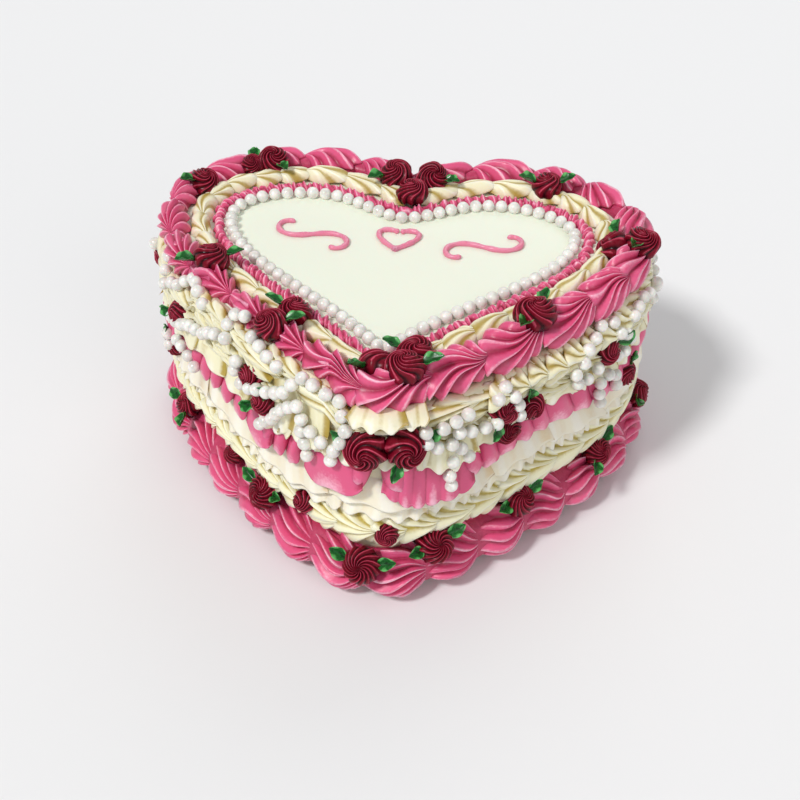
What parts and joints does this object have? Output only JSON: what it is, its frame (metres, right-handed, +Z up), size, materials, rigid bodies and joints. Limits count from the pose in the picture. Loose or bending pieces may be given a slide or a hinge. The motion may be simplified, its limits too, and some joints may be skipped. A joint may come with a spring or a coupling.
{
  "type": "heart shaped cake",
  "caption": "Tall heart shaped buttercream cake with piped shell borders, ruffled sides, sugar pearls, rosettes and green leaves.",
  "frame": {"origin": "centre of the bounding box on the underside, on the surface that the cake stands on", "axes": "+X across the heart, its longest extent, with the lobes side by side; -Y towards the heart's tip and +Y towards its cleft; +Z up, the shortest extent"},
  "size_m": [0.2638, 0.224, 0.1357],
  "materials": {
    "pale_buttercream": "smooth satin buttercream, pale cream",
    "cream_buttercream": "piped satin buttercream, warm cream",
    "pink_buttercream": "piped satin buttercream, deep rose pink",
    "burgundy_buttercream": "piped satin buttercream, dark burgundy red",
    "leaf_buttercream": "piped satin buttercream, leaf green",
    "sugar_pearl": "glossy pearl white sugar"
  },
  "bodies": {
    "root": {"cake": "pale_buttercream", "top_shells": "pink_buttercream", "base_shells": "pink_buttercream", "cream_shell_ring": "cream_buttercream", "rope_ring": "pink_buttercream", "cream_garland": "cream_buttercream", "petal_ruffle": "pink_buttercream", "cream_ruffle": "cream_buttercream", "cream_shell_row": "cream_buttercream", "spray_top_tip": "burgundy_buttercream", "spray_top_front_left": "burgundy_buttercream", "spray_top_left": "burgundy_buttercream", "spray_top_rear_corner": "burgundy_buttercream", "spray_top_rear_left": "burgundy_buttercream", "spray_top_cleft": "burgundy_buttercream", "spray_top_rear_right": "burgundy_buttercream", "spray_top_right": "burgundy_buttercream", "spray_top_front_right": "burgundy_buttercream", "spray_side_tip": "burgundy_buttercream", "spray_side_front_left": "burgundy_buttercream", "spray_side_far_left": "burgundy_buttercream", "spray_side_left_low": "burgundy_buttercream", "spray_side_front_right": "burgundy_buttercream", "spray_side_right": "burgundy_buttercream", "spray_side_right_low": "burgundy_buttercream", "spray_side_rear_1": "burgundy_buttercream", "spray_side_rear_2": "burgundy_buttercream", "spray_side_rear_3": "burgundy_buttercream", "spray_side_rear_4": "burgundy_buttercream", "spray_side_rear_5": "burgundy_buttercream", "spray_side_rear_6": "burgundy_buttercream", "spray_side_rear_7": "burgundy_buttercream", "spray_base_left": "burgundy_buttercream", "spray_base_left_bud": "burgundy_buttercream", "spray_base_front_left": "burgundy_buttercream", "spray_base_left_star": "burgundy_buttercream", "spray_base_front_star": "burgundy_buttercream", "spray_base_tip": "burgundy_buttercream", "spray_base_tip_right": "burgundy_buttercream", "spray_base_front_right": "burgundy_buttercream", "spray_base_right": "burgundy_buttercream", "spray_base_rear_1": "burgundy_buttercream", "spray_base_rear_2": "burgundy_buttercream", "spray_base_rear_3": "burgundy_buttercream", "spray_base_rear_4": "burgundy_buttercream", "spray_base_rear_5": "burgundy_buttercream", "spray_base_rear_6": "burgundy_buttercream", "spray_base_rear_7": "burgundy_buttercream"}
  },
  "joints": []
}
